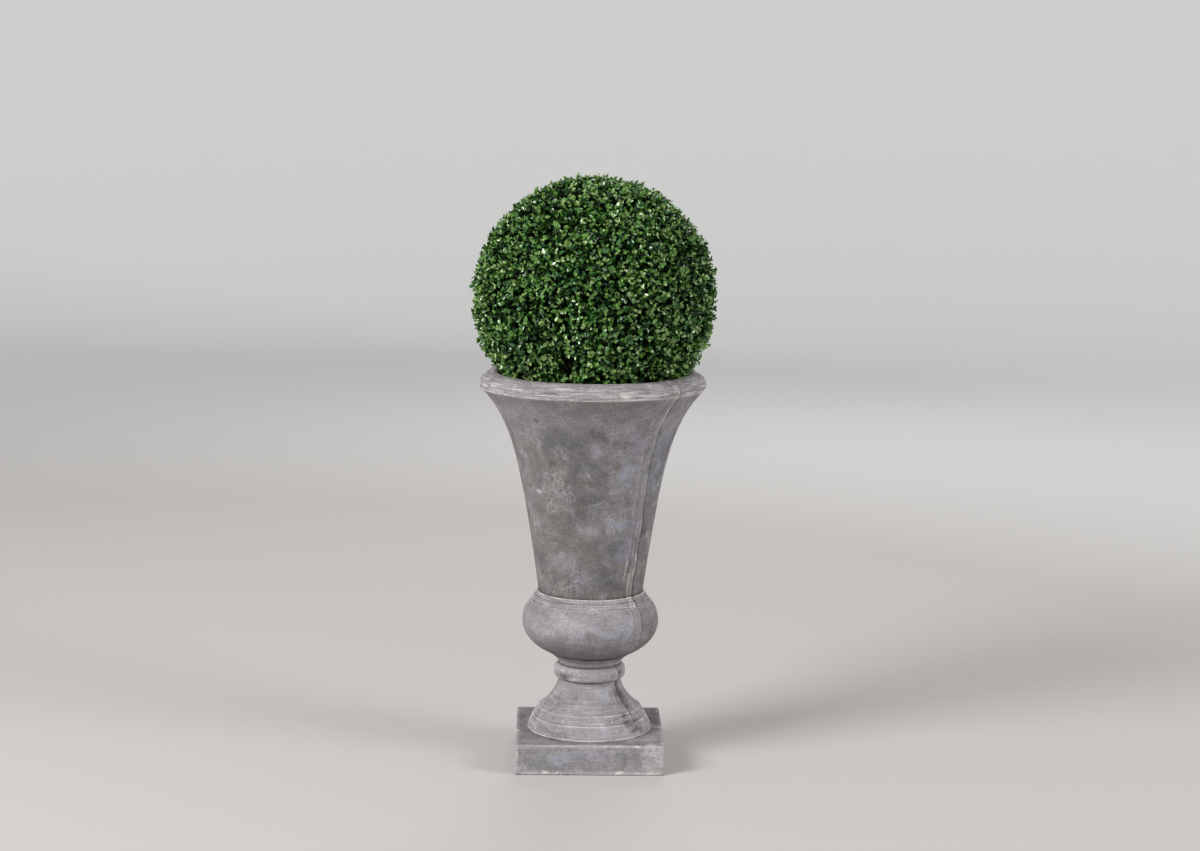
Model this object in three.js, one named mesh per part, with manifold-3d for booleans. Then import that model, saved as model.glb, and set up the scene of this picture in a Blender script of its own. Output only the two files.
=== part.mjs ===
// A clipped box topiary ball in a tall footed urn with a flared bowl.
// Millimetres, +Z up. The origin is the centre of the plinth's underside, on the floor.
import * as THREE from 'three';
import { mergeVertices } from 'three/addons/utils/BufferGeometryUtils.js';
import Module from 'manifold-3d';

const wasm = await Module();
wasm.setup();

// ---- Driving dimensions. Radii are from the urn's axis, heights are above the floor. ----

const SEAT_GAP = 0.3; // left between two pieces that rest on each other

const PLINTH_SIDE = 300;
const PLINTH_TOP = 62;
const PLINTH_CORNER_RADIUS = 5;
const PLINTH_BEVEL = 1.5;

const FOOT_RADIUS = 127; // the foot's lowest ring, on the plinth
const LOWER_STEP = { radius: 116, height: 90 };
const UPPER_STEP = { radius: 105, height: 108 };
const STEP_INSET = 1.8; // how far the next moulding starts inside the edge under it
const STEP_RISE = 0.5;
const NECK = { radius: 64, height: 163 }; // the narrow end of the foot's flare
const COLLAR_RING = { radius: 73.5, height: 182.5, low: 168.5 }; // the rounded ring round the neck
const COVE_FOOT = { radius: 62.5, height: 198 }; // the hollow band under the bulb
const COVE_RIM = { radius: 79, height: 217.5 };
const FOOT_TOP = 218.5;
const SPIGOT_RADIUS = 75; // the flat on which the bowl stands

const BULB_FOOT = { radius: 79.5, height: 220 };
const BULB = { radius: 139, height: 288 }; // where the bulb is widest
const BULB_TOP = { radius: 122.5, height: 331 };
const BOWL_INSET = 2; // how far the bowl starts inside the bulb's top edge
const LEDGE = { radius: 109.3, height: 349.3 }; // the sharp edge round the foot of the wall

// The flared wall: its radius grows evenly, and then ever faster towards the lip.
const WALL_FOOT = { radius: 106.8, height: 350.4 };
const WALL_EVEN_FLARE = { growth: 70, power: 1.12 };
const WALL_LIP_FLARE = { growth: 51.4, power: 6.6 };
const WALL_THICKNESS = 18;
const OUTER_WALL_STEPS = 12;
const INNER_WALL_STEPS = 7;

const LIP = { radius: 229.5, lowEdge: 768.8, widest: 777, bevel: 1.5 };
const LIP_UNDERCUT = 2; // the wall stops this far under the lip's low edge
const LIP_CREST = { radius: 200, height: 799 };
const MOUTH = { radius: 188, height: 786 }; // where the rolled lip turns down into the inner wall

// Each rounded moulding sets off from its start, and arrives at its end, along these (radius, height) steps.
const BENDS = {
  lowerStep: { setOff: [-0.5, 9], arrive: [-4, 8] },
  upperStep: { setOff: [-0.5, 6.5], arrive: [-3, 6] },
  footFlare: { setOff: [-13, 9.5], arrive: [-7, 27] },
  ringUnderside: { setOff: [7.5, 0], arrive: [0, 9] },
  ringTop: { setOff: [0, 9], arrive: [-8, 2] },
  cove: { setOff: [2.7, 7.7], arrive: [8.3, 5.3] },
  bulbUnderside: { setOff: [23.5, 9], arrive: [0, 38] },
  bulbShoulder: { setOff: [0, 20], arrive: [-9, 10] },
  lipRoll: { setOff: [0, 11], arrive: [-15, 0] },
  mouthRoll: { setOff: [-8, 0], arrive: [0, -8.7] },
};

const HOLLOW_FLOOR = 355; // height of the hollow's floor

const SOIL_LEVEL = 745;
const SOIL_WALL_GAP = 0.6;

const BALL_RADIUS = 246;
const BALL_CENTRE_HEIGHT = 947;
const BALL_UNDERSIDE = 757; // cut flat just over the soil, inside the mouth
const BALL_LIP_CLEARANCE = 0.4;
const BALL_DETAIL = 10; // each of the 20 first faces is split into (this + 1) squared
const SWELL_DEPTH = 0.45; // of each of the shallow waves that clipping leaves
const SWELL_COUNT = 9;
const SWELL_CRESTS = { fewest: 4, spread: 8 };
const SWELL_SEED = 20;
const SHOULDER = { depth: 2.5, direction: new THREE.Vector3(0.68, -0.2, 0.7), spread: 9 };

const STEM_FOOT_RADIUS = 17;
const STEM_TIP_RADIUS = 12;
const STEM_FLARE = 9; // how much the root flare adds at the soil
const STEM_FLARE_HEIGHT = 14;
const STEM_HEIGHT = 125; // from the soil to the fork, deep inside the leaves
const STEM_LEAN = { x: 7, y: -4 }; // how far the fork lies from over the foot
const STEM_SIDES = 14;
const STEM_STEPS = 8;
const STEM_STEP_CROWDING = 1.5; // more rings near the root flare than near the fork

// ---- Helpers ----

const LATHE_SEGMENTS = 36;
const CURVE_STEPS = 4;

/** Turns an outline of (radius, height) points round the vertical axis. */
function turned(path, segments = LATHE_SEGMENTS) {
  const geometry = new THREE.LatheGeometry(path.getPoints(CURVE_STEPS), segments);
  geometry.rotateX(Math.PI / 2);
  return geometry;
}

/** Carries an outline on to a point in one smooth bend. */
function bendTo(outline, end, bend) {
  const start = outline.currentPoint;
  outline.bezierCurveTo(
    start.x + bend.setOff[0], start.y + bend.setOff[1],
    end.radius - bend.arrive[0], end.height - bend.arrive[1],
    end.radius, end.height,
  );
}

/** The closed solid of a geometry, for cutting. Faces that shrank to a line on the axis are left out. */
function solidOf(geometry) {
  const bare = geometry.clone();
  bare.deleteAttribute('normal');
  bare.deleteAttribute('uv');
  const merged = mergeVertices(bare, 1e-3);
  const index = merged.index.array;
  const faces = [];
  for (let i = 0; i < index.length; i += 3) {
    const [a, b, c] = index.slice(i, i + 3);
    if (a !== b && b !== c && c !== a) faces.push(a, b, c);
  }
  return new wasm.Manifold(new wasm.Mesh({
    numProp: 3,
    vertProperties: new Float32Array(merged.attributes.position.array),
    triVerts: new Uint32Array(faces),
  }));
}

function geometryOf(solid) {
  const { vertProperties, triVerts } = solid.getMesh();
  const geometry = new THREE.BufferGeometry();
  geometry.setAttribute('position', new THREE.BufferAttribute(vertProperties, 3));
  geometry.setIndex(new THREE.BufferAttribute(triVerts, 1));
  geometry.computeVertexNormals();
  return geometry;
}

function named(name, geometry, material) {
  const mesh = new THREE.Mesh(geometry, material);
  mesh.name = name;
  return mesh;
}

/** A small repeatable random number source, from 0 to 1. */
function randomSource(seed) {
  let state = seed;
  return () => {
    state = (state * 1664525 + 1013904223) % 4294967296;
    return state / 4294967296;
  };
}

// ---- Materials ----

const greyStone = () => new THREE.MeshStandardMaterial({ color: 0x8b8789, roughness: 0.85, metalness: 0 });
const darkSoil = () => new THREE.MeshStandardMaterial({ color: 0x2c231b, roughness: 0.95, metalness: 0 });
const boxBark = () => new THREE.MeshStandardMaterial({ color: 0x6f6350, roughness: 0.85, metalness: 0 });
const boxLeaves = () => new THREE.MeshStandardMaterial({ color: 0x3a5524, roughness: 0.45, metalness: 0 });

// ---- The urn ----

function plinthGeometry() {
  const half = PLINTH_SIDE / 2 - PLINTH_BEVEL;
  const corner = PLINTH_CORNER_RADIUS;
  const outline = new THREE.Shape();
  outline.moveTo(-half + corner, -half);
  outline.lineTo(half - corner, -half);
  outline.absarc(half - corner, -half + corner, corner, -Math.PI / 2, 0);
  outline.lineTo(half, half - corner);
  outline.absarc(half - corner, half - corner, corner, 0, Math.PI / 2);
  outline.lineTo(-half + corner, half);
  outline.absarc(-half + corner, half - corner, corner, Math.PI / 2, Math.PI);
  outline.lineTo(-half, -half + corner);
  outline.absarc(-half + corner, -half + corner, corner, Math.PI, Math.PI * 1.5);
  const geometry = new THREE.ExtrudeGeometry(outline, {
    depth: PLINTH_TOP - 2 * PLINTH_BEVEL,
    bevelThickness: PLINTH_BEVEL,
    bevelSize: PLINTH_BEVEL,
    bevelSegments: 1,
    curveSegments: 3,
  });
  geometry.translate(0, 0, PLINTH_BEVEL);
  return geometry;
}

/** The turned foot: two stepped rings, a flare up to the neck, a rounded ring and a hollow band. */
function pedestalGeometry() {
  const seat = PLINTH_TOP + SEAT_GAP;
  const outline = new THREE.Path();
  outline.moveTo(0, seat);
  outline.lineTo(FOOT_RADIUS, seat);
  bendTo(outline, LOWER_STEP, BENDS.lowerStep);
  outline.lineTo(LOWER_STEP.radius - STEP_INSET, LOWER_STEP.height + STEP_RISE);
  bendTo(outline, UPPER_STEP, BENDS.upperStep);
  outline.lineTo(UPPER_STEP.radius - STEP_INSET, UPPER_STEP.height + STEP_RISE);
  bendTo(outline, NECK, BENDS.footFlare);
  outline.lineTo(NECK.radius, COLLAR_RING.low);
  bendTo(outline, COLLAR_RING, BENDS.ringUnderside);
  bendTo(outline, COVE_FOOT, BENDS.ringTop);
  bendTo(outline, COVE_RIM, BENDS.cove);
  outline.lineTo(SPIGOT_RADIUS, FOOT_TOP);
  outline.lineTo(0, FOOT_TOP);
  return turned(outline);
}

/** Radius of a wall that flares from foot to top, nearly evenly and then ever faster. */
function flaredRadius(height, foot, topHeight, lipGrowth) {
  const climb = (height - foot.height) / (topHeight - foot.height);
  const evenPart = WALL_EVEN_FLARE.growth * climb ** WALL_EVEN_FLARE.power;
  return foot.radius + evenPart + lipGrowth * climb ** WALL_LIP_FLARE.power;
}

/** Heights up a flared wall, closer together towards the top, where it bends more. */
function wallHeights(low, high, steps) {
  const heights = [];
  for (let step = 0; step <= steps; step += 1) {
    heights.push(low + (high - low) * Math.sin((step / steps) * (Math.PI / 2)));
  }
  return heights;
}

/** The outside of the flared wall, from the ledge to just under the lip. */
function outerWall() {
  return wallHeights(WALL_FOOT.height, LIP.lowEdge - LIP_UNDERCUT, OUTER_WALL_STEPS).map((height) => (
    new THREE.Vector2(flaredRadius(height, WALL_FOOT, LIP.lowEdge, WALL_LIP_FLARE.growth), height)
  ));
}

/** The wall of the hollow, from its floor to the mouth. */
function innerWall() {
  const foot = { radius: WALL_FOOT.radius - WALL_THICKNESS, height: HOLLOW_FLOOR };
  const lipGrowth = MOUTH.radius - foot.radius - WALL_EVEN_FLARE.growth;
  return wallHeights(foot.height, MOUTH.height, INNER_WALL_STEPS).map((height) => (
    new THREE.Vector2(flaredRadius(height, foot, MOUTH.height, lipGrowth), height)
  ));
}

/** Adds the rolled lip's top to an outline, from its widest ring over the crest to the mouth. */
function addLipTop(outline, clearance) {
  const crest = { radius: LIP_CREST.radius, height: LIP_CREST.height + clearance };
  const mouth = { radius: MOUTH.radius - clearance, height: MOUTH.height };
  bendTo(outline, crest, BENDS.lipRoll);
  bendTo(outline, mouth, BENDS.mouthRoll);
}

/** The bulb: a round, swelling block that stands on the foot and carries the bowl. */
function bulbGeometry() {
  const seat = FOOT_TOP + SEAT_GAP;
  const outline = new THREE.Path();
  outline.moveTo(0, seat);
  outline.lineTo(SPIGOT_RADIUS, seat);
  outline.lineTo(BULB_FOOT.radius, BULB_FOOT.height);
  bendTo(outline, BULB, BENDS.bulbUnderside);
  bendTo(outline, BULB_TOP, BENDS.bulbShoulder);
  outline.lineTo(0, BULB_TOP.height);
  return turned(outline);
}

/** The bowl: a sloping ledge, a flared wall and a rolled lip, hollow from the mouth down to its floor. */
function bowlGeometry() {
  const seat = BULB_TOP.height + SEAT_GAP;
  const outline = new THREE.Path();
  outline.moveTo(0, seat);
  outline.lineTo(BULB_TOP.radius - BOWL_INSET, seat);
  outline.lineTo(LEDGE.radius, LEDGE.height);
  for (const point of outerWall()) outline.lineTo(point.x, point.y);
  outline.lineTo(LIP.radius - LIP.bevel, LIP.lowEdge);
  outline.lineTo(LIP.radius, LIP.widest);
  addLipTop(outline, 0);
  for (const point of innerWall().reverse()) outline.lineTo(point.x, point.y);
  outline.lineTo(0, HOLLOW_FLOOR);
  return turned(outline);
}

/** The soil that fills the bowl's hollow, level at the top. */
function soilGeometry() {
  const wall = innerWall();
  const foot = HOLLOW_FLOOR + SEAT_GAP;
  const outline = new THREE.Path();
  outline.moveTo(0, foot);
  outline.lineTo(wall[0].x - SOIL_WALL_GAP, foot);
  for (let i = 1; i < wall.length && wall[i - 1].y < SOIL_LEVEL; i += 1) {
    const share = Math.min(1, (SOIL_LEVEL - wall[i - 1].y) / (wall[i].y - wall[i - 1].y));
    const edge = wall[i - 1].clone().lerp(wall[i], share);
    outline.lineTo(edge.x - SOIL_WALL_GAP, edge.y);
  }
  outline.lineTo(0, SOIL_LEVEL);
  return turned(outline);
}

// ---- The plant ----

/** The short stem: root flare at the soil, even taper and a slight lean up to its fork. */
function stemGeometry(clearance = 0) {
  const foot = SOIL_LEVEL + SEAT_GAP;
  const height = STEM_HEIGHT + clearance;
  const outline = new THREE.Path();
  outline.moveTo(0, foot);
  for (let step = 0; step <= STEM_STEPS; step += 1) {
    const climb = (step / STEM_STEPS) ** STEM_STEP_CROWDING;
    const taper = STEM_FOOT_RADIUS + (STEM_TIP_RADIUS - STEM_FOOT_RADIUS) * climb;
    const flare = STEM_FLARE * Math.exp((-climb * height) / STEM_FLARE_HEIGHT);
    outline.lineTo(taper + flare + clearance, foot + climb * height);
  }
  outline.lineTo(0, foot + height);
  const geometry = turned(outline, STEM_SIDES);
  const position = geometry.attributes.position;
  for (let i = 0; i < position.count; i += 1) {
    const climb = (position.getZ(i) - foot) / STEM_HEIGHT;
    position.setX(i, position.getX(i) + STEM_LEAN.x * climb * climb);
    position.setY(i, position.getY(i) + STEM_LEAN.y * climb * climb);
  }
  return geometry;
}

/** Shallow waves over the ball, each with a direction, a number of crests and a phase. */
function clippingWaves() {
  const random = randomSource(SWELL_SEED);
  const waves = [];
  for (let i = 0; i < SWELL_COUNT; i += 1) {
    const direction = new THREE.Vector3(random() - 0.5, random() - 0.5, random() - 0.5).normalize();
    const crests = SWELL_CRESTS.fewest + SWELL_CRESTS.spread * random();
    waves.push({ direction, crests, phase: 2 * Math.PI * random() });
  }
  return waves;
}

/** The ball before it is cut: a sphere with shallow swells and one fuller shoulder. */
function unevenBall() {
  const waves = clippingWaves();
  const shoulder = SHOULDER.direction.clone().normalize();
  const geometry = new THREE.IcosahedronGeometry(1, BALL_DETAIL);
  const position = geometry.attributes.position;
  const direction = new THREE.Vector3();
  for (let i = 0; i < position.count; i += 1) {
    direction.fromBufferAttribute(position, i).normalize();
    let radius = BALL_RADIUS;
    for (const wave of waves) {
      radius += SWELL_DEPTH * Math.sin(wave.crests * direction.dot(wave.direction) + wave.phase);
    }
    radius += SHOULDER.depth * Math.max(0, direction.dot(shoulder)) ** SHOULDER.spread;
    direction.multiplyScalar(radius);
    position.setXYZ(i, direction.x, direction.y, direction.z);
  }
  geometry.computeBoundingBox();
  const middle = geometry.boundingBox.getCenter(new THREE.Vector3());
  geometry.translate(-middle.x, -middle.y, BALL_CENTRE_HEIGHT);
  return geometry;
}

/** The space that the lip and the wall take up, a little larger inside and on top. */
function rimClearance() {
  const outline = new THREE.Path();
  outline.moveTo(LIP.radius + BALL_LIP_CLEARANCE, LIP.widest);
  addLipTop(outline, BALL_LIP_CLEARANCE);
  for (const point of innerWall().reverse()) outline.lineTo(point.x - BALL_LIP_CLEARANCE, point.y);
  outline.lineTo(LIP.radius + BALL_LIP_CLEARANCE, HOLLOW_FLOOR);
  outline.closePath();
  return turned(outline);
}

/** The clipped ball of leaves: flat underneath, resting in the mouth, with a pocket for the stem. */
function leafBallGeometry() {
  const below = new THREE.BoxGeometry(4 * BALL_RADIUS, 4 * BALL_RADIUS, 2 * BALL_RADIUS);
  below.translate(0, 0, BALL_UNDERSIDE - BALL_RADIUS);
  const ball = solidOf(unevenBall())
    .subtract(solidOf(below))
    .subtract(solidOf(rimClearance()))
    .subtract(solidOf(stemGeometry(SEAT_GAP)));
  return geometryOf(ball);
}

// ---- The whole object ----

const topiary = new THREE.Group();
const urn = new THREE.Group();
urn.add(named('plinth', plinthGeometry(), greyStone()));
urn.add(named('pedestal', pedestalGeometry(), greyStone()));
urn.add(named('bulb', bulbGeometry(), greyStone()));
urn.add(named('bowl', bowlGeometry(), greyStone()));
urn.add(named('soil', soilGeometry(), darkSoil()));
const plant = new THREE.Group();
plant.add(named('stem', stemGeometry(), boxBark()));
plant.add(named('leaf_ball', leafBallGeometry(), boxLeaves()));
topiary.add(urn, plant);

export default topiary;
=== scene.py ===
"""A clipped box ball in a tall weathered urn: the look of the stone, bark, twigs and leaves.

Metres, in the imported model's frame: +Z up, the plinth stands on z = 0, and the front faces -Y.
"""
import math

import bpy
import numpy as np
from mathutils import Matrix, Vector
from mathutils.bvhtree import BVHTree


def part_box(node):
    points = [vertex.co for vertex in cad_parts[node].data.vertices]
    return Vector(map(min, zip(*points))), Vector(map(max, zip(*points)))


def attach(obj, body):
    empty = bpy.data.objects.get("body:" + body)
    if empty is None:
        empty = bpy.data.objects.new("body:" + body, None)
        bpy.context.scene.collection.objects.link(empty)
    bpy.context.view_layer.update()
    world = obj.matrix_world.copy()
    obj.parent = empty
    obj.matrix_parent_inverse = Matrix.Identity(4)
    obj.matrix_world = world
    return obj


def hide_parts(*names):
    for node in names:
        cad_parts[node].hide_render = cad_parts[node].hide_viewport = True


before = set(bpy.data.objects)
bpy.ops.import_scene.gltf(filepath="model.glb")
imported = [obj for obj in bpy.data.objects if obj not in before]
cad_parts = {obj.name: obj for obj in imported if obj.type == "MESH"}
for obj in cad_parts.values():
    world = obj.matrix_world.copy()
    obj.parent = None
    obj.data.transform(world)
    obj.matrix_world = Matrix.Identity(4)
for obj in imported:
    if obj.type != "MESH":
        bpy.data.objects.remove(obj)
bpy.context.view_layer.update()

# ---- Sizes of the urn ----
# A point of the turned outline is (radius from the axis, height above the floor).

PLINTH_BEVEL = 0.0015
PLINTH_CORNER = 0.005
PLINTH_INNER_SHARE = 0.3
PLINTH_COVERED_SHARE = 0.56

FOOT_RADIUS = 0.127
LOWER_STEP = (0.116, 0.09)
UPPER_STEP = (0.105, 0.108)
STEP_INSET = 0.0018
STEP_RISE = 0.0005
NECK = (0.064, 0.163)
RING_FOOT = (0.064, 0.1685)
RING = (0.0735, 0.1825)
COVE_FOOT = (0.0625, 0.198)
COVE_RIM = (0.079, 0.2175)
SPIGOT_RADIUS = 0.075
BULB_FOOT = (0.0795, 0.22)
BULB = (0.139, 0.288)
BULB_TOP = (0.1225, 0.331)
BOWL_INSET = 0.002
LEDGE = (0.1093, 0.3493)
WALL_FOOT = (0.1068, 0.3504)
# The wall flares by (amount, power of the climb): evenly, and then quickly towards the lip.
EVEN_FLARE = (0.07, 1.12)
LIP_FLARE = (0.0514, 6.6)
LIP_LOW_EDGE = (0.228, 0.7688)
LIP_UNDERCUT = 0.002
LIP_WIDEST = (0.2295, 0.777)
LIP_CREST = (0.2, 0.799)
MOUTH = (0.188, 0.786)
WALL_THICKNESS = 0.018
# From the bowl's floor to the soil's solid, and from that in to the soil's mesh.
SOIL_GAP = 0.0003
SOIL_SLACK = 0.001
CRUMB_HEIGHT = 0.004
# Points along the scored line on the ledge: (share of the ledge's slope, depth).
SCORED_LINE = ((0.48, 0), (0.55, 0.0009), (0.62, 0.0009), (0.69, 0))

# ---- Fineness of the urn's meshes ----

FINE_STEP = 0.0017
WALL_STEP = 0.0026
INSIDE_STEP = 0.004
HIDDEN_STEP = 0.02
JOINT_EDGE = 0.006
BOWL_COLUMNS = 384
SMALL_COLUMNS = 300
PLINTH_SIDE_POINTS = 140
PLINTH_CORNER_POINTS = 5
PLINTH_UNDER_ROWS = 6
PLINTH_ROWS = 32
SOIL_COLUMNS = 150

# ---- Weathering of the stone ----

SEAM = math.radians(45.9)
SEAM_SWING = math.radians(0.9)
SWING_START = 0.37
SWING_LENGTH = 0.42
# Across the seam: place, half width, and height, strength or depth.
SEAM_RIDGE = (-0.002, 0.007, 0.0016)
SEAM_LINES = ((0.0034, 0.0016, 1.1), (-0.0085, 0.0014, 0.3), (-0.021, 0.0014, 0.3))
SEAM_GROOVES = ((0.0084, 0.0026, 0.0018), (-0.0115, 0.0017, 0.0008))
# Where the lines are stronger: height, half length, and how much.
SEAM_BARE = (0.445, 0.075, 1.1)
# Sizes of the lines' breaks and flecks.
SEAM_BREAK = (0.01, 0.01, 0.018)
SEAM_FLECK = (0.01, 0.01, 0.016)
# Unevenness of the surface: its height, and how long its swells are.
BUMPY = (0.0006, 0.085)
ROUGH = (0.00022, 0.013)
# How proud an edge, or how deep a hollow, is fully worn or dirty.
PROUD_EDGE = 0.0007
DEEP_HOLLOW = 0.0009
CHIP_DEPTH = 0.0022
PIT_DEPTH = 0.0005
LINE_RISE = 0.0004
LINE_WIDTH = 0.0013
CREASE_WIDTH = 0.0021
CLOUD_RAGGED = 0.95

# Clouds on the front: degrees round from it; height, half width and half height in mm; and strength.
CLOUDS = {
    "green": (
        (-42, 748, 40, 12, 1.1), (-22, 674, 36, 18, 1.4), (-4, 630, 24, 18, 0.8), (10, 540, 20, 30, 0.7),
        (18, 462, 30, 14, 0.9), (10, 392, 50, 18, 0.8), (-30, 24, 34, 14, 1.2), (22, 44, 26, 14, 1.1),
    ),
    "lilac": (
        (3, 662, 14, 30, 0.8), (30, 672, 34, 32, 0.9), (40, 500, 14, 60, 0.8), (-7, 398, 24, 14, 0.6),
        (-40, 292, 60, 12, 0.8), (-3, 290, 50, 14, 0.8), (10, 78, 50, 8, 0.9), (4, 40, 34, 18, 0.8),
    ),
    "blue": (
        (28, 606, 26, 22, 0.9), (20, 506, 34, 10, 0.9), (31, 452, 16, 22, 0.6), (61, 640, 36, 90, 0.7),
        (34, 298, 26, 16, 0.85), (14, 282, 34, 8, 0.8), (19, 150, 20, 14, 1.3), (-42, 281, 30, 10, 0.7),
        (-19, 42, 30, 14, 0.8),
    ),
    "pale": (
        (-6, 490, 16, 12, 0.5), (-33, 426, 30, 24, 0.3), (-60, 600, 30, 120, 0.15),
        # The first cloud on this line, on the swelling at 314 mm, is a painted highlight.
        (-20, 314, 34, 12, 0.5), (40, 36, 18, 22, 0.8), (-48, 568, 7, 3, 2.5), (30, 620, 40, 60, 0.25),
    ),
    "dark": (
        (-15, 560, 60, 40, 0.3), (72, 290, 36, 40, 0.9), (-52, 120, 28, 32, 0.7), (57, 150, 8, 12, 1.6),
        (55, 127, 12, 12, 1.8), (42, 105, 18, 3.5, 2.2), (45, 89, 18, 4.5, 2.2), (47, 74, 14, 5, 1.8),
        (-50, 179, 12, 6, 2.4), (56, 186, 9, 8, 1.6), (105, 62, 90, 6, 0.9), (-110, 62, 70, 6, 0.5),
        (-37, 721, 3, 3, 3.0),
    ),
    "white": (
        (22, 6, 7, 3, 0.9), (-31, 6, 4, 3, 0.8), (41, 6, 10, 4, 0.6), (15, 776, 9, 4, 0.8),
    ),
}
# Seeds of the noise that makes the clouds behind.
BEHIND_SEEDS = {"green": 130, "lilac": 140, "blue": 150, "pale": 160, "dark": 170}

# ---- Colours, as the eye sees them ----

STONE_DARK = (88, 83, 83)
STONE_LIGHT = (111, 105, 104)
TINTS = {"green": (78, 90, 87), "lilac": (142, 131, 148), "blue": (131, 141, 156)}
WASH_COLOUR = (186, 181, 184)
SCRATCH_COLOUR = (172, 166, 167)
HATCH_COLOUR = (160, 155, 156)
STREAK_COLOUR = (212, 208, 210)
CHALK_COLOUR = (222, 213, 207)
FLECK_COLOUR = (188, 183, 183)
SOIL_DARK = (28, 20, 14)
SOIL_LIGHT = (74, 56, 40)
BARK_DARK = (62, 52, 42)
BARK_LIGHT = (128, 116, 98)
TWIG_COLOUR = (46, 36, 33)
SHOOT_COLOUR = (44, 56, 26)

# ---- The plant ----

SEED = 7
GOLDEN_ANGLE = math.pi * (3 - math.sqrt(5))
STEM_TIP = Vector((0.007, -0.004, 0.87))
# Thick and thin end of each kind of limb; the stem's flare is its extra radius and how high it goes.
STEM_RADII = (0.017, 0.012)
STEM_FLARE = (0.009, 0.014)
BOUGH_RADII = (0.0088, 0.0048)
BRANCH_RADII = (0.004, 0.0026)
BRANCHLET_RADII = (0.0022, 0.0014)
SHOOT_RADII = (0.001, 0.0005)
BARK_RIDGE = 0.0007
BARK_CELL = (0.004, 0.004, 0.016)
# Boughs, branches and branchlets: how many, share of the ball that they reach, and unevenness.
LIMB_ORDERS = ((9, 0.36, 0.16), (64, 0.64, 0.14), (380, 0.82, 0.12))
SHOOTS = 4800
SHOOTS_ABOVE = 0.772
# How deep the shoots' tips lie in the clipped surface: more where they are thin, less for strays.
TIP_DEPTH = 0.0045
TIP_SPREAD = 0.01
THIN_DEPTH = 0.018
STRAY_LENGTH = 0.005
STRAY_SHARE = 0.14

# ---- The leaves ----

LEAF_LENGTH = 0.0108
LEAF_WIDTH = 0.0069
# A leaf lies along its first axis. Each station is how far (along, across, lifted).
YOUNG_STATIONS = ((0.2, 0.6, 0.6), (0.45, 1.00, 1.0), (0.72, 0.84, 0.9), (0.91, 0.42, 0.5))
OLDER_STATIONS = ((0.24, 0.72, 0.7), (0.6, 1.00, 1.0), (0.86, 0.56, 0.6))
TIP_LIFT = 0.25
# Pairs of leaves on a shoot: how far back from its tip, degrees out from the shoot, and size.
LEAF_PAIRS = ((0.0, 36, 0.74), (0.003, 58, 0.92), (0.008, 72, 1.0), (0.014, 78, 1.1))
YOUNG_PAIRS = 2
INNER_PAIRS = ((0.021, 80, 1.5), (0.029, 80, 1.7), (0.04, 82, 1.9))
SHADED_PAIRS = tuple((0.004 + 0.009 * step, 60, 2.2) for step in range(12))
LEAVES_MISSING = 0.12
# How much the leaves vary: lean in degrees, turn in radians, heading, facing and size.
LEAN_SPREAD = 17
TURN_SPREAD = 0.35
HEADING_SPREAD = 0.18
FACING_SPREAD = 0.38
SIZE_SPREAD = 0.15
LEAF_OVERHANG = 0.009
LIP_CLEARANCE = 0.0008

# The greens from light to dark, and how often a shoot is dealt each.
LEAF_COLOURS = {
    "leaves_lime": (120, 150, 82),
    "leaves_fresh": (92, 134, 58),
    "leaves_mid": (65, 108, 41),
    "leaves_bluish": (60, 104, 58),
    "leaves_deep": (31, 65, 20),
    "leaves_dark": (17, 41, 11),
}
DEAL = (0.12, 0.28, 0.34, 0.12, 0.1, 0.04)
# For each green, the number of the deeper one for its shoots' older leaves: darker with age, and painted
# shade further down the shoot.
OLDER_AND_SHADED = np.array([4, 4, 4, 5, 5, 5])
# Nearly black: painted shade for the leaves deep in the ball.
INNER_SHADE_COLOUR = (4, 14, 2)
LEAF_ROUGHNESS = 0.24
YOUNG_SHINE = 0.8
OLDER_SHINE = 0.2

# ---- The room ----

CAMERA_PLACE = (-0.0853, -5.0199, 1.4344)
CAMERA_TURNS = ((-1.149, "Z"), (81.548, "X"), (0.682, "Z"))
CAMERA_LENS = 75.15
SENSOR_WIDTH = 36
FLOOR_RADIUS = 7.0
WALL_CURVE = 4.0
FLOOR_COLUMNS = 96
FLOOR_COLOUR = (177, 174, 172)
# Painted light: the floor is paler far behind and up the wall, where the lights don't reach.
DISTANT_LIGHT_COLOUR = (236, 236, 235)
# Painted shade: a darker floor under the key and the fill light, which would bleach it.
FLOOR_SHADE_POOLS = ((-4.1, -3.0, 0), (4.4, -2.2, 0))
FLOOR_SHADE_COLOUR = (140, 138, 136)
AIR_STRENGTH = 0.43
LIGHT_AIM = Vector((0, 0, 0.7))
# Name, place, width and power of each soft light.
LIGHTS = (
    ("key", (-5.2, -3.8, 4.2), 3.4, 625),
    ("fill", (5.7, -2.9, 3.3), 3.2, 282),
    ("back", (0.6, 4.2, 3.4), 2.4, 66),
)

# ---- Small helpers ----


UP = np.array([0, 0, 1.0])


def clamp(values, low=0.0, high=1.0):
    return np.minimum(np.maximum(values, low), high)


def smooth_step(values, low, high):
    """0 below low, 1 above high, and a soft change between."""
    share = clamp((values - low) / (high - low))
    return share * share * (3 - 2 * share)


def lengths(vectors):
    return np.linalg.norm(vectors, axis=-1, keepdims=True)


def unit(vectors):
    return vectors / np.maximum(lengths(vectors), 1e-12)


def lattice(cells, seed):
    """A repeatable number from 0 to 1 for each whole-numbered place; each use has its own seed."""
    mixed = cells[..., 0] * 374761393 + cells[..., 1] * 668265263 + cells[..., 2] * 1274126177
    mixed = (mixed + seed * 974711) & 0xFFFFFFFF
    mixed = ((mixed ^ (mixed >> 13)) * 1103515245) & 0xFFFFFFFF
    return ((mixed ^ (mixed >> 16)) & 0xFFFF) / 0xFFFF


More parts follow.
